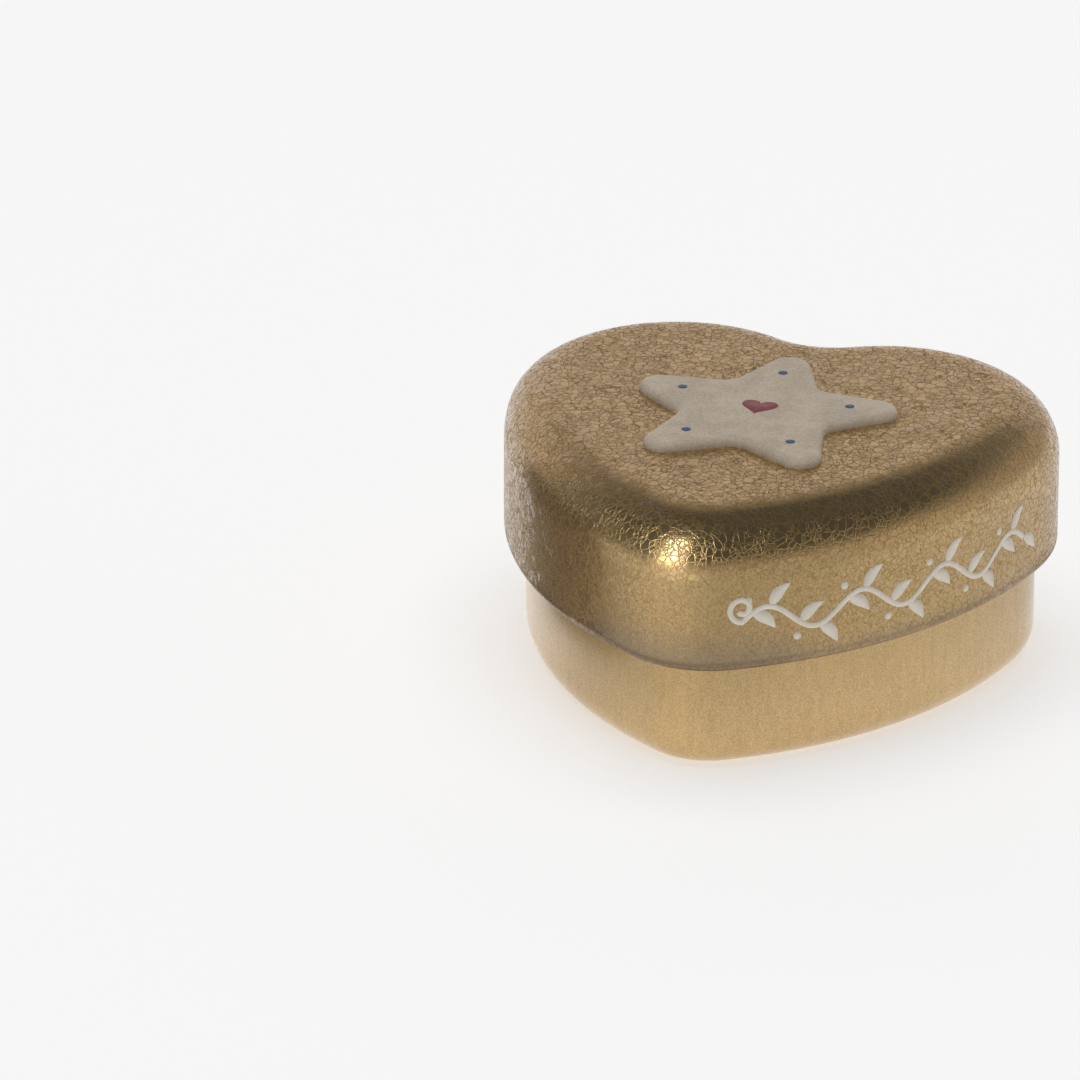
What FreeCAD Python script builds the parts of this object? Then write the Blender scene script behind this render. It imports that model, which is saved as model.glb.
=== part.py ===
import FreeCAD, Part
import math
import os

# Heart-shaped keepsake tin for milk teeth: a drawn base, a slip-over lid, and the enamel on the lid's motif.
# Millimetres, +Z up. The origin lies on the table, under the middle of the lid's outline.
# The heart's point faces -Y and its two lobes face +Y, so X = 0 is its plane of symmetry.

# Sheet that the base and the lid are drawn from
SHEET = 0.3

# Outline of the lid, seen from above and measured on its outside.
# POINT_REACH runs from the line through the lobes' centres to the centre of the point's arc.
LID_WIDTH = 64.0
LOBE_RADIUS = 19.7
SIDE_RADIUS = 54.5
POINT_RADIUS = 11.6
NOTCH_RADIUS = 6.0
POINT_REACH = 30.1

# Lid
LID_HEIGHT = 17.8
LID_TOP_RADIUS = 6.8
LID_ROLL_RADIUS = 1.1

# Base
BASE_HEIGHT = 29.15
BASE_FOOT_RADIUS = 3.4
RIM_ROLL_RADIUS = 0.8

# Fits: round the base's wall inside the lid's rolled edge, and over the base's rim inside the lid's top
SLIP_CLEARANCE = 0.3
SEAT_GAP = 0.15

# Motif: a five-armed star with round tips and valleys, embossed in the lid's top and coated with enamel.
# EMBOSS_FLANK is the upright part of its side, below the rounded top edge.
STAR_ARMS = 5
STAR_BACK = 1.0
STAR_REACH = 15.5
STAR_TIP_RADIUS = 2.2
STAR_VALLEY_REACH = 9.0
STAR_VALLEY_RADIUS = 2.4
EMBOSS_HEIGHT = 0.8
EMBOSS_FLANK = 0.1
ENAMEL_THICKNESS = 0.25

# Angles, in degrees
ROLL_TURN = 270.0
QUARTER_TURN = 90.0
HALF_TURN = 180.0
FULL_TURN = 360.0

UP = FreeCAD.Vector(0, 0, 1)
ORIGIN = FreeCAD.Vector(0, 0, 0)

# Places in the outline and in the sheets' sections, as insets from the lid's outline and heights
lobe_x = LID_WIDTH / 2 - LOBE_RADIUS
lobe_y = (POINT_REACH + POINT_RADIUS - LOBE_RADIUS) / 2
base_inset = 2 * LID_ROLL_RADIUS + SLIP_CLEARANCE
foot_inset = base_inset + BASE_FOOT_RADIUS
rim_roll_inset = base_inset + RIM_ROLL_RADIUS
rim_roll_z = BASE_HEIGHT - RIM_ROLL_RADIUS

# The lid comes down until its inner corner, or its flat top, is a gap away from the base's rolled rim
seat_reach = LID_TOP_RADIUS - SHEET - SEAT_GAP - RIM_ROLL_RADIUS
seat_side = max(LID_TOP_RADIUS - rim_roll_inset, 0)
lid_corner_z = rim_roll_z - math.sqrt(seat_reach ** 2 - seat_side ** 2)
lid_top_z = lid_corner_z + LID_TOP_RADIUS
lid_roll_z = lid_top_z - LID_HEIGHT + LID_ROLL_RADIUS


def polar(centre, radius, angle):
    """The point at an angle in degrees round a centre, at the centre's height."""
    turn = math.radians(angle)
    return centre + FreeCAD.Vector(radius * math.cos(turn), radius * math.sin(turn), 0)


def bearing(start, end):
    """The direction from one point to another, seen from above, in degrees."""
    return math.degrees(math.atan2(end.y - start.y, end.x - start.x))


def mirrored(point):
    """The point on the other side of the heart's plane of symmetry."""
    return FreeCAD.Vector(-point.x, point.y, point.z)


def side_centre(lobe, point):
    """Centre of the right side's arc, which runs smoothly into the lobe's arc and the point's arc."""
    from_lobe = SIDE_RADIUS - LOBE_RADIUS
    from_point = SIDE_RADIUS - POINT_RADIUS
    span = point.distanceToPoint(lobe)
    along = (from_lobe ** 2 - from_point ** 2 + span ** 2) / (2 * span)
    across = math.sqrt(from_lobe ** 2 - along ** 2)
    towards_point = bearing(lobe, point)
    return polar(polar(lobe, along, towards_point), across, towards_point - QUARTER_TURN)


def heart_arcs():
    """The lid's outline, anticlockwise from its point, as (centre, radius, start angle, sweep, bulge).

    Bulge is 1 where the outline bulges outwards and -1 in the notch.
    """
    lobe = FreeCAD.Vector(lobe_x, lobe_y, 0)
    point = FreeCAD.Vector(0, lobe_y - POINT_REACH, 0)
    notch = FreeCAD.Vector(0, lobe_y + math.sqrt((LOBE_RADIUS + NOTCH_RADIUS) ** 2 - lobe_x ** 2), 0)
    side = side_centre(lobe, point)
    point_end = bearing(side, point)
    side_end = bearing(side, lobe)
    lobe_end = bearing(lobe, notch)
    side_sweep = side_end - point_end
    lobe_sweep = lobe_end - side_end
    return [
        (point, POINT_RADIUS, -HALF_TURN - point_end, HALF_TURN + 2 * point_end, 1),
        (side, SIDE_RADIUS, point_end, side_sweep, 1),
        (lobe, LOBE_RADIUS, side_end, lobe_sweep, 1),
        (notch, NOTCH_RADIUS, lobe_end - HALF_TURN, HALF_TURN - 2 * lobe_end, -1),
        (mirrored(lobe), LOBE_RADIUS, HALF_TURN - lobe_end, lobe_sweep, 1),
        (mirrored(side), SIDE_RADIUS, HALF_TURN - side_end, side_sweep, 1),
    ]


def heart_panel(inset, bottom_z):
    """A flat heart of sheet whose outline lies an inset inside the lid's."""
    edges = []
    for centre, radius, start, sweep, bulge in heart_arcs():
        points = [polar(centre, radius - bulge * inset, start + share * sweep) for share in (0, 1 / 2, 1)]
        edges.append(Part.Arc(*points).toShape())
    face = Part.Face(Part.Wire(edges))
    face.translate(UP * bottom_z)
    return face.extrude(UP * SHEET)


def face_of(arcs):
    """The face inside arcs that follow one another, joined by straight runs."""
    edges = []
    for arc, following in zip(arcs, arcs[1:] + arcs[:1]):
        edges.append(arc)
        arc_end = arc.valueAt(arc.LastParameter)
        next_start = following.valueAt(following.FirstParameter)
        edges.append(Part.LineSegment(arc_end, next_start).toShape())
    return Part.Face(Part.Wire(edges))


def section_arc(inset, z, radius, start, end):
    """An arc in a sheet's section round a centre, between angles in degrees: 0 is inwards and 90 is up."""
    points = []
    for angle in (start, (start + end) / 2, end):
        turn = math.radians(angle)
        points.append(FreeCAD.Vector(inset + radius * math.cos(turn), 0, z + radius * math.sin(turn)))
    return Part.Arc(*points).toShape()


def swept_round_heart(section):
    """A section carried round the lid's outline, as one turned solid for each of its arcs."""
    turned = []
    for centre, radius, start, sweep, bulge in heart_arcs():
        inwards = start + HALF_TURN if bulge > 0 else start
        face = section.copy()
        face.rotate(ORIGIN, UP, inwards)
        face.translate(polar(centre, radius, start))
        turned.append(face.revolve(centre, UP, sweep))
    return turned


def star_prism(grow, bottom_z, height, edge_radius):
    """The star standing on a height, its outline grown outwards and its top edge rounded over."""
    centre = FreeCAD.Vector(0, STAR_BACK, bottom_z)
    tip_radius = STAR_TIP_RADIUS + grow
    valley_radius = STAR_VALLEY_RADIUS - grow
    half_step = HALF_TURN / STAR_ARMS
    arcs = []
    for arm in range(STAR_ARMS):
        tip_angle = QUARTER_TURN + 2 * half_step * arm
        valley_angle = tip_angle + half_step
        tip = polar(centre, STAR_REACH - STAR_TIP_RADIUS, tip_angle)
        valley = polar(centre, STAR_VALLEY_REACH + STAR_VALLEY_RADIUS, valley_angle)
        slant = math.degrees(math.acos((tip_radius + valley_radius) / tip.distanceToPoint(valley)))
        half_tip = (bearing(tip, valley) - slant - tip_angle) % FULL_TURN
        half_valley = half_tip - half_step
        tip_angles = (tip_angle - half_tip, tip_angle, tip_angle + half_tip)
        valley_angles = (valley_angle + half_valley, valley_angle, valley_angle - half_valley)
        arcs.append(Part.Arc(*[polar(tip, tip_radius, angle) for angle in tip_angles]).toShape())
        arcs.append(Part.Arc(*[polar(valley, -valley_radius, angle) for angle in valley_angles]).toShape())
    prism = face_of(arcs).extrude(UP * height)
    if edge_radius <= 0:
        return prism
    top_edges = [edge for edge in prism.Edges if edge.BoundBox.ZMin > bottom_z + height / 2]
    return prism.makeFillet(edge_radius, top_edges)


def base_tin():
    """The base: a floor, a rounded foot, a wall, and a rim rolled inwards."""
    roll_end = HALF_TURN - ROLL_TURN
    section = face_of([
        section_arc(foot_inset, BASE_FOOT_RADIUS, BASE_FOOT_RADIUS, -QUARTER_TURN, -HALF_TURN),
        section_arc(rim_roll_inset, rim_roll_z, RIM_ROLL_RADIUS, HALF_TURN, roll_end),
        section_arc(rim_roll_inset, rim_roll_z, RIM_ROLL_RADIUS - SHEET, roll_end, HALF_TURN),
        section_arc(foot_inset, BASE_FOOT_RADIUS, BASE_FOOT_RADIUS - SHEET, -HALF_TURN, -QUARTER_TURN),
    ])
    return heart_panel(foot_inset, 0).fuse(swept_round_heart(section)).removeSplitter()


def lid_tin():
    """The lid: a top with the embossed star, a rounded corner, a skirt, and an edge rolled inwards."""
    roll_end = HALF_TURN + ROLL_TURN
    section = face_of([
        section_arc(LID_TOP_RADIUS, lid_corner_z, LID_TOP_RADIUS, HALF_TURN, QUARTER_TURN),
        section_arc(LID_TOP_RADIUS, lid_corner_z, LID_TOP_RADIUS - SHEET, QUARTER_TURN, HALF_TURN),
        section_arc(LID_ROLL_RADIUS, lid_roll_z, LID_ROLL_RADIUS - SHEET, HALF_TURN, roll_end),
        section_arc(LID_ROLL_RADIUS, lid_roll_z, LID_ROLL_RADIUS, roll_end, HALF_TURN),
    ])
    underside_z = lid_top_z - SHEET
    shell = heart_panel(LID_TOP_RADIUS, underside_z).fuse(swept_round_heart(section))
    edge_radius = EMBOSS_HEIGHT - EMBOSS_FLANK
    raised = star_prism(0, underside_z, SHEET + EMBOSS_HEIGHT, edge_radius)
    hollow = star_prism(-SHEET, underside_z, EMBOSS_HEIGHT, edge_radius - SHEET)
    return shell.fuse(raised).cut(hollow).removeSplitter()


def motif_enamel():
    """The enamel coat over the embossed star."""
    edge_radius = EMBOSS_HEIGHT - EMBOSS_FLANK
    coated_height = EMBOSS_HEIGHT + ENAMEL_THICKNESS
    coated = star_prism(ENAMEL_THICKNESS, lid_top_z, coated_height, edge_radius + ENAMEL_THICKNESS)
    return coated.cut(star_prism(0, lid_top_z, EMBOSS_HEIGHT, edge_radius))


os.makedirs("parts", exist_ok=True)
for name, make in (("base_tin", base_tin), ("lid_tin", lid_tin), ("motif_enamel", motif_enamel)):
    shape = make()
    shape.exportStep(os.path.join("parts", name + ".step"))
    state = "valid" if shape.isValid() else "not valid"
    print(f"{name}: {state}, {len(shape.Solids)} solid, {shape.Volume:.1f} mm3")
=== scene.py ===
import math

import bpy
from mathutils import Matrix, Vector
from mathutils.bvhtree import BVHTree


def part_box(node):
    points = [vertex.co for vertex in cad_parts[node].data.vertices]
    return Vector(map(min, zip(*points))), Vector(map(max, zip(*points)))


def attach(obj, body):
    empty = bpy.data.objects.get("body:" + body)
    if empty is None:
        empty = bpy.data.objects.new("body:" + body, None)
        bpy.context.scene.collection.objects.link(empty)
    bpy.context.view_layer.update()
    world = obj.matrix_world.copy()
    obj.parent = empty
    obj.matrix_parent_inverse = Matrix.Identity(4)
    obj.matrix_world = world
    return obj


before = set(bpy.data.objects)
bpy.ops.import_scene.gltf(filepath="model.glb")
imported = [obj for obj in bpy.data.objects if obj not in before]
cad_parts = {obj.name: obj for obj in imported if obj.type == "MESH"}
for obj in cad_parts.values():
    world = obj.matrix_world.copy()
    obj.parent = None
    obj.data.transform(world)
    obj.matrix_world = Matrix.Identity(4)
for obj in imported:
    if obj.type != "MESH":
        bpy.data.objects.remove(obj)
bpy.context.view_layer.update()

# Sizes and places are in millimetres, but the camera's place and the studio are in metres
# A fade is (start, end), or (start, end, value at start, value at end) where it isn't from 0 to 1
# A colour of three values is 0 to 255, as a screen shows it, and one of four is RGBA in linear light
MM = 0.001
NOISE_MEAN = (0.5, 0.5, 0.5)
NOISE_DETAIL = 2.0
FINE_DETAIL = 3.0

# Camera at the photograph's viewing angle
CAMERA_PLACE = (0.2549, -0.9197, 0.4433)
CAMERA_ELEVATION = math.radians(24.13)
CAMERA_AZIMUTH = math.radians(16.95)
CAMERA_SENSOR = 36.0
CAMERA_LENS = 307.7

# Level directions seen from that camera
AWAY = Vector((-math.sin(CAMERA_AZIMUTH), math.cos(CAMERA_AZIMUTH), 0))
LEFT = Vector((-math.cos(CAMERA_AZIMUTH), -math.sin(CAMERA_AZIMUTH), 0))
LEVEL_AXES = (1.0, 1.0, 0.0)

# Forms of the lid that its finish follows: slopes are the upward share of the surface's direction
LID_CENTRE = (0.0, 3.0, 22.0)
OUTSIDE_BLEND = 0.5
FLAT_SLOPE = (0.93, 0.999)
RIM_FOOT_SLOPE = (0.2, 0.45)
RIM_HEAD_SLOPE = (0.85, 0.65)
DRAWN_RIM_Y = (-6.0, -24.0)
HEART_POINT_Y = (-22.0, -28.0)
ROLL_HEIGHT = (1.6, 0.8)

# Crazed clear coat of the lid: flakes, of which some split into chips, with cracks between them
FLAKE_SIZE = 0.95
CHIP_SIZE = 0.62
SPLIT_FLAKES = (0.35, 0.45)
FLAKE_DRIFT = 1.6
FLAKE_DRIFT_SIZE = 4.0
FLAKE_WARP = 0.4
FLAKE_WARP_SIZE = 0.9
FLAKE_TILT = 0.12
CHIP_TILT = 0.08
RIM_TILT_SHARE = 0.4
CRACK_WIDTH_SHARE = 0.085
CRACK_DEPTH = 0.022
SKIRT_COAT = 0.95
TOP_COAT = 0.6
ROLL_COAT_SHARE = 0.15
LID_COAT_ROUGHNESS = 0.19
LID_COAT_IOR = 1.6

# Satin gold under that coat, partly matt on the flat top
GRAIN_SIZE = 0.25
GRAIN_STRETCH = (1.0, 1.0, 0.8)
GRAIN_DEPTH = 0.012
GRAIN_TONES = (0.3, 0.7)
GRAIN_ROUGHNESS = (0.25, 0.75, 0.22, 0.34)
RIM_ROUGHNESS_SHARE = 0.8
CRACK_ROUGHNESS = 0.28
DRAWN_CRACK_ROUGHNESS = 0.2
SKIRT_GROOVE_SHARE = 0.22
METAL_SWAY_SHARE = 0.12
TOP_MATT_SHARE = 0.45
GRAZING_TINT = (0.85, 0.8, 0.8, 1.0)
SKIRT_GOLD = ((195, 164, 110), (168, 139, 91))
TOP_GOLD = ((210, 175, 115), (174, 143, 92))
CRACK_BROWN = (114, 80, 45)
SKIRT_CRACK_SHARE = 0.08
TOP_CRACK_SHARE = 0.6

# Painted shade along the lid's lower edge and roll; on the left, a pale line of bare tin and painted
# highlight
EDGE_SHADE_HEIGHT = 2.8
POINT_SHADE_HEIGHT = 6.5
EDGE_SHADE_SHARE = 0.7
EDGE_SHADE_GOLD = (142, 125, 104)
PATCH_SIZE = 2.0
PATCH_DEPTH = 1.2
ROLL_SHADE_GOLD = (108, 93, 76)
ROLL_SHADE_SHARE = 0.2
POINT_ROLL_SHADE_SHARE = 0.6
BARE_EDGE = 0.3
BARE_BLEND = 0.1
BARE_AND_HIGHLIGHT_X = (2.0, -10.0)
BARE_TIN_AND_HIGHLIGHT = (236, 232, 226)

# Smooth gold lacquer of the base, with a speckle and streaks of the drawing
SPECKLE_SIZE = 0.18
SPECKLE_SHARE = 0.75
STREAK_SIZE = 0.9
STREAK_SHARE = 0.25
STREAK_STRETCH = (1.0, 1.0, 0.25)
SPECKLE_DEPTH = 0.012
SPECKLE_TONES = (0.35, 0.65)
SPECKLE_ROUGHNESS = (0.3, 0.7, 0.36, 0.46)
BASE_GOLD = ((200, 167, 107), (176, 144, 90))
BASE_COAT = 0.8
BASE_COAT_ROUGHNESS = 0.2
BASE_COAT_IOR = 1.8

# Paints: two tones and the size of the grain
CREAM_ENAMEL = ((232, 216, 195), (199, 184, 163), 0.3)
CREAM_PAINT = ((240, 232, 216), (224, 215, 199), 0.15)
RED_PAINT = ((172, 100, 106), (146, 80, 88), 0.2)
BLUE_PAINT = ((86, 120, 158), (66, 98, 136), 0.2)
PAINT_ROUGHNESS = 0.6
PAINT_GRAIN_TONES = (0.3, 0.7)
PAINT_GRAIN_SHARE = 0.6
PAINT_PATCH_TONES = (0.35, 0.65)
PAINT_PATCH_SHARE = 0.4
PAINT_PATCH_GRAINS = 12
PAINT_RELIEF = 0.02
PAINT_RELIEF_STRENGTH = 0.6

# Paint film: how far its edge, its middle and its hidden back stand off the surface
PAINT_EDGE = 0.02
PAINT_CROWN = 0.035
PAINT_BACK = -0.05
STEM_OVER_LEAVES = 0.01

# Painted sprig on the lid's skirt: u runs round the lid from the heart's point, v is height
SPRIG_START = 7.0
SPRIG_END = 47.5
SPRIG_HEIGHT = 19.1
SPRIG_WAVE = 1.6
SPRIG_WAVES = 3.5
STEM_WIDTH = 0.66
STEM_STEPS = 140
CURL_RADIUS = 1.6
CURL_TURNS = 1.15
CURL_SHRINK_SHARE = 0.72
CURL_STEPS = 36
LEAF_LENGTH = 3.4
LEAF_WIDTH = 1.45
LEAF_TIP = 0.03
LEAF_BOW_SHARE = 0.12
LEAF_FULLNESS = 0.8
LEAF_STEPS = 10
OUTER_LEAF_TILT = math.radians(60)
INNER_LEAF_TILT = math.radians(72)
BERRY_RADIUS = 0.46
BERRY_REACH = 1.55

# Places on the stem, from a wave's crest and as shares of half a wave
OUTER_LEAF_SHARE = 0.08
INNER_LEAF_SHARE = -0.3
BERRY_SHARE = -0.24

# Painted accents on the raised star
STAR_CENTRE = (0.0, 1.0)
STAR_ARMS = 5
DOT_REACH = 10.3
DOT_RADIUS = 0.55
HEART_WIDTH = 4.2

# Studio floor: its glow is even to the eye, and shaped for what the gold mirrors
FLOOR_REACH = 4.0
FLOOR_COLOUR = (0.8, 0.8, 0.8, 1.0)
FLOOR_GLOW_COLOUR = (1.0, 1.0, 1.0, 1.0)
FLOOR_ROUGHNESS = 0.9
FLOOR_GLOW = 0.5
FRONT_SHADE = (-0.04, -0.08, 0.0, -0.25)
FOOT_GLOW = (0.032, 0.055, 0.18, -0.14)
OUTER_GLOW = (0.06, 0.085, 0.0, 0.13)
LEFT_SHADE = (0.012, 0.035, 0.0, -0.22)
LEFT_SHADE_DEPTH = (0.006, -0.012)
LEFT_SHADE_REACH = (0.062, 0.05)
SHEEN_BEARING = math.radians(32)
SHEEN_START = (0.075, 0.12)
SHEEN_WIDTH = (0.075, 0.02, 0.0, 0.8)

# Low card on the left, seen only in reflections: a painted dark reflection, and its foot painted shade
# on the floor
CARD_WIDTH = 0.031
CARD_HEIGHT = 0.028
CARD_SHADE_FOOT = 0.0055
CARD_LEFT = 0.042
CARD_AWAY = -0.0025
CARD_LIFT = 0.0005
CARD_SHADE_COLOUR = (162, 155, 145)
CARD_ROUGHNESS = 0.6

# Surroundings: a dark side has its bearing, from away to the left, and its loss of light
SKY_LEAN = math.radians(13)
SKY_GLOW = (0.55, 0.18, 0.0, 0.7)
SKY_LEAST = 0.12
DARK_SIDES = ((math.radians(84), 0.85), (math.radians(-62), 0.4))
DARK_SIDE_START = 0.7
DARK_SIDE_FULL = 0.98
TINT_GLOW = (0.0, 0.4)
DIM_TINT = (0.94, 1.0, 1.06, 1.0)
BRIGHT_TINT = (1.0, 0.91, 0.84, 1.0)

# Soft lights: the key shows in reflections alone, the top light falls on matt surfaces alone
KEY_PLACE = (-0.447, -0.878, 0.53)
KEY_TARGET = (0.0, 0.0, 0.02)
KEY_SIZE = (0.34, 1.0)
KEY_POWER = 6.2
TOP_PLACE = (0.0, 0.0, 1.5)
TOP_TARGET = (0.0, 0.0, 0.0)
TOP_SIZE = (1.5, 1.5)
TOP_POWER = 10.0


def linear(red, green, blue):
    """An RGBA colour in linear light, by the usual screen curve, from values of 0 to 255."""
    shares = [value / 255 for value in (red, green, blue)]
    return tuple(((s + 0.055) / 1.055) ** 2.4 if s > 0.04045 else s / 12.92 for s in shares) + (1.0,)


class Nodes:
    """A short way to write a node tree."""

    def __init__(self, tree):
        self.tree = tree
        tree.nodes.clear()

    def put(self, socket, value):
        if isinstance(value, bpy.types.NodeSocket):
            self.tree.links.new(value, socket)
        else:
            socket.default_value = value

    def add(self, kind, settings=None, **inputs):
        node = self.tree.nodes.new(kind)
        for name, value in (settings or {}).items():
            setattr(node, name, value)
        for name, value in inputs.items():
            self.put(node.inputs[name.replace("_", " ")], value)
        return node

    def math(self, operation, first, second=0.0):
        node = self.add("ShaderNodeMath", {"operation": operation})
        self.put(node.inputs[0], first)
        self.put(node.inputs[1], second)
        return node.outputs[0]

    def times(self, first, second):
        return self.math("MULTIPLY", first, second)

    def plus(self, first, second):
        return self.math("ADD", first, second)

    def minus(self, first, second):
        return self.math("SUBTRACT", first, second)

    def vector(self, operation, first, second=None, scale=None):
        node = self.add("ShaderNodeVectorMath", {"operation": operation})
        self.put(node.inputs[0], first)
        if second is not None:
            self.put(node.inputs[1], second)
        if scale is not None:
            self.put(node.inputs["Scale"], scale)
        plain_number = operation in ("DOT_PRODUCT", "LENGTH")
        return node.outputs["Value" if plain_number else "Vector"]

    def axes(self, vector):
        """The X, Y and Z of a vector."""
        return self.add("ShaderNodeSeparateXYZ", Vector=vector).outputs

    def mix(self, factor, first, second):
        """A mix of two colours, through the node's own sockets for colours."""
        node = self.add("ShaderNodeMix", {"data_type": "RGBA"})
        self.put(node.inputs[0], factor)
        self.put(node.inputs[6], first)
        self.put(node.inputs[7], second)
        return node.outputs[2]

    def tones(self, factor, first, second):
        """A mix of two screen colours."""
        return self.mix(factor, linear(*first), linear(*second))

    def step(self, value, start, end, low=0.0, high=1.0):
        """A smooth rise from low to high as value goes from start to end."""
        node = self.add("ShaderNodeMapRange", {"interpolation_type": "SMOOTHSTEP"}, Value=value,
                        From_Min=start, From_Max=end, To_Min=low, To_Max=high)
        return node.outputs["Result"]

    def blend(self, mask, low, high):
        """A number that is low where the mask is 0 and high where it is 1."""
        return self.step(mask, 0.0, 1.0, low, high)

    def millimetres(self):
        """Object coordinates in millimetres, which stay with a piece when it moves."""
        place = self.add("ShaderNodeTexCoord").outputs["Object"]
        return self.vector("SCALE", place, scale=1 / MM)

    def noise(self, place, size, detail=NOISE_DETAIL):
        return self.add("ShaderNodeTexNoise", Vector=place, Scale=1 / size, Detail=detail)

    def wander(self, place, size, reach):
        """A random shift of up to half of reach each way, in waves of the given size."""
        wave = self.vector("SUBTRACT", self.noise(place, size).outputs["Color"], NOISE_MEAN)
        return self.vector("SCALE", wave, scale=reach)

    def cells(self, place, size, feature="F1"):
        return self.add("ShaderNodeTexVoronoi", {"feature": feature}, Vector=place, Scale=1 / size)

    def edges(self, place, size):
        """The distance to the nearest cell's edge, as a share of the cells' size."""
        return self.cells(place, size, "DISTANCE_TO_EDGE").outputs["Distance"]

    def surface(self, **inputs):
        """The material's shader."""
        shader = self.add("ShaderNodeBsdfPrincipled", **inputs)
        self.add("ShaderNodeOutputMaterial", Surface=shader.outputs[0])


def new_material(name):
    """A material and the writer of its nodes."""
    material = bpy.data.materials.new(name)
    material.use_nodes = True
    return material, Nodes(material.node_tree)


class LidZones:
    """The parts of the lid that its finish follows: masks from 0 to 1, direction and height."""

    def __init__(self, n, place, lid_bottom):
        self.normal = n.add("ShaderNodeNewGeometry").outputs["Normal"]
        outward = n.vector("DOT_PRODUCT", self.normal, n.vector("SUBTRACT", place, LID_CENTRE))
        self.outside = n.step(outward, -OUTSIDE_BLEND, OUTSIDE_BLEND)

        slope = n.axes(n.add("ShaderNodeTexCoord").outputs["Normal"])["Z"]
        self.flat = n.step(slope, *FLAT_SLOPE)
        self.rim = n.times(n.step(slope, *RIM_FOOT_SLOPE), n.step(slope, *RIM_HEAD_SLOPE))

        axes = n.axes(place)
        self.height = axes["Z"]
        self.drawn = n.times(self.rim, n.step(axes["Y"], *DRAWN_RIM_Y))
        self.point = n.step(axes["Y"], *HEART_POINT_Y)
        self.left = n.step(axes["X"], *BARE_AND_HIGHLIGHT_X)
        roll_start, roll_full = ROLL_HEIGHT
        self.roll = n.step(self.height, lid_bottom + roll_start, lid_bottom + roll_full)


class Flakes:
    """The crazed coat: its whole flakes, its cracks, and how each flake is tilted."""

    def __init__(self, n, place, zones):
        drift = n.wander(place, FLAKE_DRIFT_SIZE, FLAKE_DRIFT)
        warp = n.wander(place, FLAKE_WARP_SIZE, FLAKE_WARP)
        warped = n.vector("ADD", n.vector("ADD", place, drift), warp)
        flake = n.cells(warped, FLAKE_SIZE).outputs["Color"]
        chip = n.cells(warped, CHIP_SIZE).outputs["Color"]
        self.tone = n.axes(chip)["Y"]

        split = n.step(n.axes(flake)["X"], *SPLIT_FLAKES)
        chip_crack = n.times(n.step(n.edges(warped, CHIP_SIZE), CRACK_WIDTH_SHARE, 0.0), split)
        flake_body = n.step(n.edges(warped, FLAKE_SIZE), 0.0, CRACK_WIDTH_SHARE)
        self.body = n.times(flake_body, n.minus(1.0, chip_crack))
        self.cracks = n.times(n.minus(1.0, self.body), zones.outside)

        flake_tilt = n.vector("SCALE", n.vector("SUBTRACT", flake, NOISE_MEAN), scale=FLAKE_TILT)
        chip_tilt = n.vector("SCALE", n.vector("SUBTRACT", chip, NOISE_MEAN), scale=CHIP_TILT)
        share = n.times(zones.outside, n.blend(zones.rim, 1.0, RIM_TILT_SHARE))
        self.tilt = n.vector("SCALE", n.vector("ADD", flake_tilt, chip_tilt), scale=share)


def coat_relief(n, zones, flakes):
    """The coat's surface: each flake lies at its own tilt and rounds off into the cracks."""
    tilted = n.vector("NORMALIZE", n.vector("ADD", zones.normal, flakes.tilt))
    return n.add("ShaderNodeBump", Strength=zones.outside, Distance=CRACK_DEPTH * MM,
                 Height=flakes.body, Normal=tilted).outputs[0]


def metal_relief(n, zones, flakes, grain):
    """The gold's surface: a fine grain, and grooves under the cracks, deepest on the drawn rim."""
    depth = n.blend(zones.drawn, SKIRT_GROOVE_SHARE * CRACK_DEPTH, CRACK_DEPTH)
    height = n.minus(n.times(grain, GRAIN_DEPTH), n.times(flakes.cracks, depth))
    sway = n.vector("SCALE", flakes.tilt, scale=METAL_SWAY_SHARE)
    swayed = n.vector("NORMALIZE", n.vector("ADD", zones.normal, sway))
    return n.add("ShaderNodeBump", Strength=1.0, Distance=MM, Height=height, Normal=swayed).outputs[0]


def lid_colour(n, zones, flakes, grain):
    """Gold with brown cracks, which show most on the flat top, where each chip has its own tone."""
    skirt = n.tones(n.step(grain, *GRAIN_TONES), *SKIRT_GOLD)
    gold = n.mix(zones.flat, skirt, n.tones(flakes.tone, *TOP_GOLD))
    brown = n.times(flakes.cracks, n.blend(zones.flat, SKIRT_CRACK_SHARE, TOP_CRACK_SHARE))
    return n.mix(brown, gold, linear(*CRACK_BROWN))


def lower_edge_shade(n, place, zones, gold, lid_bottom):
    """Painted shade at the lid's lower edge and roll, most at the heart's point, and a pale line of
    bare tin and painted highlight on the left.
    """
    start = lid_bottom - PATCH_DEPTH / 2
    patches = n.noise(place, PATCH_SIZE).outputs["Fac"]
    patchy = n.plus(zones.height, n.times(patches, -PATCH_DEPTH))
    # Painted shade: greyer gold in patches along the lower edge, reaching highest at the heart's point
    shade_reach = n.plus(n.blend(zones.point, EDGE_SHADE_HEIGHT, POINT_SHADE_HEIGHT), start)
    shaded = n.step(patchy, shade_reach, start + BARE_EDGE)
    gold = n.mix(n.times(shaded, EDGE_SHADE_SHARE), gold, linear(*EDGE_SHADE_GOLD))
    # Painted shade: darker gold on the roll, most at the heart's point
    roll_shade = n.times(zones.roll, n.blend(zones.point, ROLL_SHADE_SHARE, POINT_ROLL_SHADE_SHARE))
    gold = n.mix(roll_shade, gold, linear(*ROLL_SHADE_GOLD))
    # A pale line on the left: bare tin, and a painted highlight where the floor is mirrored
    line = lid_bottom + BARE_EDGE
    bare_and_highlight = n.times(n.step(zones.height, line + BARE_BLEND, line - BARE_BLEND), zones.left)
    return n.mix(bare_and_highlight, gold, linear(*BARE_TIN_AND_HIGHLIGHT))


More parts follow.
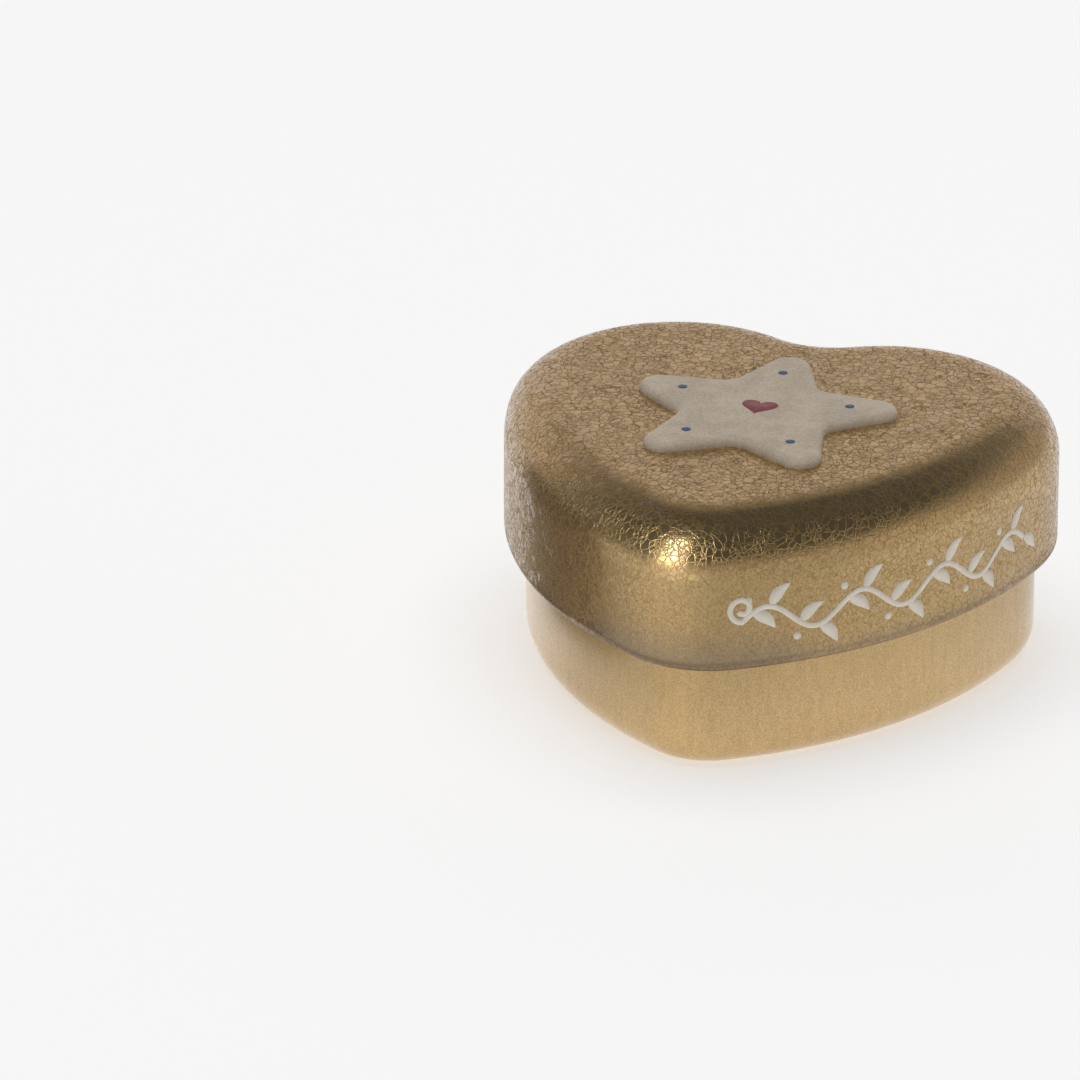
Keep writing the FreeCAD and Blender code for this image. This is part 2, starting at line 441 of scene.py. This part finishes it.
def crackle_gold(lid_bottom):
    """Satin gold under a crazed clear coat, partly matt on the flat top, with painted shade at the
    lower edge.
    """
    material, n = new_material("crackle_gold")
    place = n.millimetres()
    zones = LidZones(n, place, lid_bottom)
    flakes = Flakes(n, place, zones)
    stretched = n.vector("MULTIPLY", place, GRAIN_STRETCH)
    grain = n.noise(stretched, GRAIN_SIZE, FINE_DETAIL).outputs["Fac"]

    gold = lower_edge_shade(n, place, zones, lid_colour(n, zones, flakes, grain), lid_bottom)
    satin = n.times(n.step(grain, *GRAIN_ROUGHNESS), n.blend(zones.rim, 1.0, RIM_ROUGHNESS_SHARE))
    dull = n.times(flakes.cracks, n.blend(zones.drawn, CRACK_ROUGHNESS, DRAWN_CRACK_ROUGHNESS))
    coated = n.times(flakes.body, n.blend(zones.flat, SKIRT_COAT, TOP_COAT))
    coated = n.times(coated, n.blend(zones.roll, 1.0, ROLL_COAT_SHARE))
    n.surface(Base_Color=gold, Specular_Tint=GRAZING_TINT,
              Metallic=n.minus(1.0, n.times(zones.flat, TOP_MATT_SHARE)),
              Roughness=n.plus(satin, dull), Normal=metal_relief(n, zones, flakes, grain),
              Coat_Weight=coated, Coat_Roughness=LID_COAT_ROUGHNESS, Coat_IOR=LID_COAT_IOR,
              Coat_Normal=coat_relief(n, zones, flakes))
    return material


def satin_gold():
    """Smooth gold lacquer with a faint drawn grain."""
    material, n = new_material("satin_gold")
    place = n.millimetres()
    stretched = n.vector("MULTIPLY", place, STREAK_STRETCH)
    streak = n.noise(stretched, STREAK_SIZE, FINE_DETAIL).outputs["Fac"]
    speckle = n.noise(place, SPECKLE_SIZE).outputs["Fac"]
    mottle = n.plus(n.times(speckle, SPECKLE_SHARE), n.times(streak, STREAK_SHARE))
    bump = n.add("ShaderNodeBump", Strength=1.0, Distance=SPECKLE_DEPTH * MM, Height=mottle)
    n.surface(Base_Color=n.tones(n.step(mottle, *SPECKLE_TONES), *BASE_GOLD), Metallic=1.0,
              Roughness=n.step(speckle, *SPECKLE_ROUGHNESS), Normal=bump.outputs[0],
              Coat_Weight=BASE_COAT, Coat_Roughness=BASE_COAT_ROUGHNESS, Coat_IOR=BASE_COAT_IOR)
    return material


def grainy_paint(name, colour, shade, grain_size):
    """Matt paint with a fine grain and soft patches of a second tone."""
    material, n = new_material(name)
    place = n.millimetres()
    grain = n.noise(place, grain_size).outputs["Fac"]
    patch = n.noise(place, PAINT_PATCH_GRAINS * grain_size).outputs["Fac"]
    mottle = n.plus(n.times(n.step(grain, *PAINT_GRAIN_TONES), PAINT_GRAIN_SHARE),
                    n.times(n.step(patch, *PAINT_PATCH_TONES), PAINT_PATCH_SHARE))
    bump = n.add("ShaderNodeBump", Strength=PAINT_RELIEF_STRENGTH, Distance=PAINT_RELIEF * MM,
                 Height=grain)
    n.surface(Base_Color=n.tones(mottle, colour, shade), Roughness=PAINT_ROUGHNESS,
              Normal=bump.outputs[0])
    return material


def dress(node, material):
    """Gives a CAD node its finish."""
    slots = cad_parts[node].data.materials
    slots.clear()
    slots.append(material)


class LidWall:
    """The outside of the lid's skirt, unrolled: u runs round it from the heart's point, v is height."""

    SAMPLES = 720
    START_REACH = 60.0

    def __init__(self, height):
        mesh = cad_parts["lid_tin"].data
        tree = BVHTree.FromPolygons([v.co for v in mesh.vertices], [p.vertices for p in mesh.polygons])
        self.points = []
        self.lengths = [0.0]
        for k in range(self.SAMPLES + 1):
            angle = 2 * math.pi * k / self.SAMPLES - math.pi / 2
            outward = Vector((math.cos(angle), math.sin(angle), 0))
            origin = outward * self.START_REACH * MM + Vector((0, 0, height * MM))
            hit = tree.ray_cast(origin, -outward)[0]
            self.points.append(hit / MM)
        for a, b in zip(self.points, self.points[1:]):
            self.lengths.append(self.lengths[-1] + (b - a).length)

    def place(self, u, v, lift):
        """A point in metres on the skirt, lifted off it outwards."""
        k = next(i for i, length in enumerate(self.lengths) if length > u) - 1
        a, b = self.points[k], self.points[k + 1]
        along = b - a
        outward = Vector((along.y, -along.x, 0)).normalized()
        point = a + along * ((u - self.lengths[k]) / along.length) + outward * lift
        return Vector((point.x, point.y, v)) * MM


def on_star(top):
    """Places a painted point on the star's flat top."""
    def place(u, v, lift):
        return Vector((STAR_CENTRE[0] + u, STAR_CENTRE[1] + v, top + lift)) * MM
    return place


class Film:
    """A thin painted film made of closed strokes and pads on one surface."""

    def __init__(self, place):
        self.place = place
        self.points = []
        self.faces = []

    def stroke(self, spine, half_widths, extra=0.0):
        """A brush stroke along a line of (u, v) points, with its own half width at each."""
        first = len(self.points)
        for k, (u, v) in enumerate(spine):
            before = spine[max(k - 1, 0)]
            after = spine[min(k + 1, len(spine) - 1)]
            along = Vector((after[0] - before[0], after[1] - before[1])).normalized()
            du, dv = -along.y * half_widths[k], along.x * half_widths[k]
            row = ((u + du, v + dv, PAINT_EDGE + extra), (u, v, PAINT_CROWN + extra),
                   (u - du, v - dv, PAINT_EDGE + extra), (u - du, v - dv, PAINT_BACK),
                   (u + du, v + dv, PAINT_BACK))
            self.points += [self.place(*point) for point in row]
        width = len(row)
        for k in range(len(spine) - 1):
            for j in range(width):
                a, b = first + k * width + j, first + k * width + (j + 1) % width
                self.faces.append((a, b, b + width, a + width))
        last = first + (len(spine) - 1) * width
        self.faces.append(tuple(first + j for j in reversed(range(width))))
        self.faces.append(tuple(last + j for j in range(width)))

    def pad(self, centre, ring):
        """A small crowned blot with the given outline."""
        first = len(self.points)
        count = len(ring)
        self.points += [self.place(u, v, PAINT_EDGE) for u, v in ring]
        self.points += [self.place(u, v, PAINT_BACK) for u, v in ring]
        self.points += [self.place(*centre, PAINT_CROWN), self.place(*centre, PAINT_BACK)]
        crown = first + 2 * count
        for j in range(count):
            a, b = first + j, first + (j + 1) % count
            self.faces.append((crown, a, b))
            self.faces.append((a, a + count, b + count, b))
            self.faces.append((crown + 1, b + count, a + count))

    def piece(self, name, material, body):
        """Makes the film a piece that rides on a body."""
        mesh = bpy.data.meshes.new(name)
        mesh.from_pydata(self.points, [], self.faces)
        mesh.validate()
        mesh.materials.append(material)
        for polygon in mesh.polygons:
            polygon.use_smooth = True
        film = bpy.data.objects.new(name, mesh)
        bpy.context.scene.collection.objects.link(film)
        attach(film, body)


def circle(centre, radius, count=16):
    """An even ring of points."""
    turns = [2 * math.pi * k / count for k in range(count)]
    return [(centre[0] + radius * math.cos(t), centre[1] + radius * math.sin(t)) for t in turns]


def heart_outline(width, count=32):
    """A small heart with its point down: the usual heart curve, raised to its own centre and scaled."""
    curve_width = 32
    curve_rise = 2
    ring = []
    for k in range(count):
        t = -2 * math.pi * k / count
        x = 16 * math.sin(t) ** 3
        y = 13 * math.cos(t) - 5 * math.cos(2 * t) - 2 * math.cos(3 * t) - math.cos(4 * t)
        ring.append((x * width / curve_width, (y + curve_rise) * width / curve_width))
    return ring


def leaf(film, root, angle):
    """An almond leaf from root, with a slight bow."""
    spine = []
    half_widths = []
    for k in range(LEAF_STEPS + 1):
        t = k / LEAF_STEPS
        bow = LEAF_BOW_SHARE * LEAF_LENGTH * math.sin(math.pi * t)
        along = LEAF_LENGTH * t
        spine.append((root[0] + along * math.cos(angle) - bow * math.sin(angle),
                      root[1] + along * math.sin(angle) + bow * math.cos(angle)))
        swell = math.sin(math.pi * t ** LEAF_FULLNESS) ** LEAF_FULLNESS
        half_widths.append(max(LEAF_TIP, LEAF_WIDTH / 2 * swell))
    film.stroke(spine, half_widths)


def stem(t):
    """A point of the sprig's wavy stem, for t from 0 to 1."""
    wave = SPRIG_WAVE * math.sin(2 * math.pi * SPRIG_WAVES * t)
    return (SPRIG_START + (SPRIG_END - SPRIG_START) * t, SPRIG_HEIGHT + wave)


def heading(t):
    """The stem's direction at that point."""
    rise = SPRIG_WAVE * 2 * math.pi * SPRIG_WAVES * math.cos(2 * math.pi * SPRIG_WAVES * t)
    return math.atan2(rise, SPRIG_END - SPRIG_START)


def curl():
    """The spiral at the start of the stem, from the stem inwards."""
    start_u, start_v = stem(0.0)
    points = []
    for k in range(1, CURL_STEPS + 1):
        turn = 2 * math.pi * CURL_TURNS * k / CURL_STEPS
        radius = CURL_RADIUS * (1 - CURL_SHRINK_SHARE * k / CURL_STEPS)
        u = start_u - radius * math.sin(turn)
        v = start_v + CURL_RADIUS - radius * math.cos(turn)
        points.append((u, v))
    return points


def painted_sprig(material):
    """A wavy stem with a curled start, leaves and berries, on the right of the lid's skirt."""
    film = Film(LidWall(SPRIG_HEIGHT).place)
    spine = curl()[::-1] + [stem(k / STEM_STEPS) for k in range(STEM_STEPS + 1)]
    film.stroke(spine, [STEM_WIDTH / 2] * len(spine), extra=STEM_OVER_LEAVES)
    halves = int(2 * SPRIG_WAVES)
    for k in range(halves):
        side = -1 if k % 2 else 1
        crest = (k + 0.5) / halves
        outer = crest + OUTER_LEAF_SHARE / halves
        inner = crest + INNER_LEAF_SHARE / halves
        berry = crest + BERRY_SHARE / halves
        leaf(film, stem(outer), heading(outer) + side * OUTER_LEAF_TILT)
        leaf(film, stem(inner), heading(inner) - side * INNER_LEAF_TILT)
        u, v = stem(berry)
        across = heading(berry) + side * math.pi / 2
        centre = (u + BERRY_REACH * math.cos(across), v + BERRY_REACH * math.sin(across))
        film.pad(centre, circle(centre, BERRY_RADIUS))
    leaf(film, stem(1.0), heading(1.0))
    film.piece("painted_sprig", material, "lid")


def painted_star_accents(red, blue, top):
    """A small heart in the middle of the star and a dot on each arm."""
    heart = Film(on_star(top))
    heart.pad((0.0, 0.0), heart_outline(HEART_WIDTH))
    heart.piece("painted_heart", red, "lid")
    dots = Film(on_star(top))
    for k in range(STAR_ARMS):
        angle = math.pi / 2 + 2 * math.pi * k / STAR_ARMS
        centre = (DOT_REACH * math.cos(angle), DOT_REACH * math.sin(angle))
        dots.pad(centre, circle(centre, DOT_RADIUS))
    dots.piece("painted_dots", blue, "lid")


def make_camera():
    """The photograph's camera."""
    data = bpy.data.cameras.new("camera")
    data.sensor_width = CAMERA_SENSOR
    data.lens = CAMERA_LENS
    camera = bpy.data.objects.new("camera", data)
    camera.location = CAMERA_PLACE
    camera.rotation_euler = (math.pi / 2 - CAMERA_ELEVATION, 0, CAMERA_AZIMUTH)
    bpy.context.scene.collection.objects.link(camera)
    bpy.context.scene.camera = camera


def floor_glow(n):
    """The floor's own light: even, but for mirrored rays darker or brighter in places."""
    place = n.add("ShaderNodeTexCoord").outputs["Object"]
    away = n.vector("DOT_PRODUCT", place, AWAY)
    left = n.vector("DOT_PRODUCT", place, LEFT)
    radius = n.vector("LENGTH", place)
    shape = n.plus(n.step(away, *FRONT_SHADE), n.step(radius, *FOOT_GLOW))
    shape = n.plus(shape, n.step(radius, *OUTER_GLOW))
    left_shade = n.times(n.step(left, *LEFT_SHADE), n.step(away, *LEFT_SHADE_DEPTH))
    shape = n.plus(shape, n.times(left_shade, n.step(radius, *LEFT_SHADE_REACH)))

    ahead = LEFT * math.sin(SHEEN_BEARING) - AWAY * math.cos(SHEEN_BEARING)
    aside = LEFT * math.cos(SHEEN_BEARING) + AWAY * math.sin(SHEEN_BEARING)
    reach = n.vector("DOT_PRODUCT", place, ahead)
    offset = n.math("ABSOLUTE", n.vector("DOT_PRODUCT", place, aside))
    sheen = n.times(n.step(reach, *SHEEN_START), n.step(offset, *SHEEN_WIDTH))
    mirrored = n.add("ShaderNodeLightPath").outputs["Is Glossy Ray"]
    return n.plus(FLOOR_GLOW, n.times(n.plus(shape, sheen), mirrored))


def make_floor():
    """A plain pale floor."""
    mesh = bpy.data.meshes.new("floor")
    corners = ((-1, -1), (1, -1), (1, 1), (-1, 1))
    mesh.from_pydata([(x * FLOOR_REACH, y * FLOOR_REACH, 0) for x, y in corners], [], [(0, 1, 2, 3)])
    floor = bpy.data.objects.new("floor", mesh)
    bpy.context.scene.collection.objects.link(floor)
    material, n = new_material("floor")
    n.surface(Base_Color=FLOOR_COLOUR, Roughness=FLOOR_ROUGHNESS, Emission_Color=FLOOR_GLOW_COLOUR,
              Emission_Strength=floor_glow(n))
    mesh.materials.append(material)


def make_reflected_shade_card():
    """A low grey card on the left that only reflections see: a painted dark reflection, with a foot
    that is painted shade on the floor.
    """
    mesh = bpy.data.meshes.new("card")
    corners = []
    for y in (-CARD_WIDTH / 2, CARD_WIDTH / 2):
        corners += [(CARD_SHADE_FOOT, y, 0), (0, y, 0), (0, y, CARD_HEIGHT)]
    mesh.from_pydata(corners, [], [(0, 1, 4, 3), (1, 2, 5, 4)])
    card = bpy.data.objects.new("card", mesh)
    card.location = AWAY * CARD_AWAY + LEFT * CARD_LEFT + Vector((0, 0, CARD_LIFT))
    card.rotation_euler = (0, 0, CAMERA_AZIMUTH)
    bpy.context.scene.collection.objects.link(card)
    material, n = new_material("card")
    n.surface(Base_Color=linear(*CARD_SHADE_COLOUR), Roughness=CARD_ROUGHNESS)
    mesh.materials.append(material)
    card.visible_camera = False
    card.visible_diffuse = False
    card.visible_shadow = False
    card.visible_transmission = False


def make_world():
    """Pale surroundings, highest behind the box, that are dark overhead and on two sides."""
    world = bpy.data.worlds.new("studio")
    bpy.context.scene.world = world
    world.use_nodes = True
    n = Nodes(world.node_tree)
    direction = n.add("ShaderNodeTexCoord").outputs["Generated"]
    up = Vector((0, 0, math.cos(SKY_LEAN))) - AWAY * math.sin(SKY_LEAN)
    glow = n.step(n.vector("DOT_PRODUCT", direction, up), *SKY_GLOW)
    level = n.vector("NORMALIZE", n.vector("MULTIPLY", direction, LEVEL_AXES))
    for bearing, loss in DARK_SIDES:
        facing = n.vector("DOT_PRODUCT", level, AWAY * math.cos(bearing) + LEFT * math.sin(bearing))
        glow = n.times(glow, n.step(facing, DARK_SIDE_START, DARK_SIDE_FULL, 1.0, 1.0 - loss))
    tint = n.mix(n.step(glow, *TINT_GLOW), DIM_TINT, BRIGHT_TINT)
    background = n.add("ShaderNodeBackground", Color=tint, Strength=n.plus(glow, SKY_LEAST))
    n.add("ShaderNodeOutputWorld", Surface=background.outputs[0])


def softbox(name, place, target, size, power, glossy=True, diffuse=True):
    """A soft rectangular light that faces its target."""
    data = bpy.data.lights.new(name, "AREA")
    data.shape = "RECTANGLE"
    data.size, data.size_y = size
    data.energy = power
    light = bpy.data.objects.new(name, data)
    light.visible_glossy = glossy
    light.visible_diffuse = diffuse
    light.location = place
    light.rotation_euler = (Vector(target) - Vector(place)).to_track_quat("-Z", "Y").to_euler()
    bpy.context.scene.collection.objects.link(light)


dress("lid_tin", crackle_gold(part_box("lid_tin")[0].z / MM))
dress("base_tin", satin_gold())
dress("motif_enamel", grainy_paint("cream_enamel", *CREAM_ENAMEL))
painted_sprig(grainy_paint("cream_paint", *CREAM_PAINT))
painted_star_accents(grainy_paint("red_paint", *RED_PAINT), grainy_paint("blue_paint", *BLUE_PAINT),
                     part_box("motif_enamel")[1].z / MM)

make_camera()
make_floor()
make_world()
make_reflected_shade_card()
softbox("key", KEY_PLACE, KEY_TARGET, KEY_SIZE, KEY_POWER, diffuse=False)
softbox("top", TOP_PLACE, TOP_TARGET, TOP_SIZE, TOP_POWER, glossy=False)
bpy.context.scene.view_settings.view_transform = "Standard"
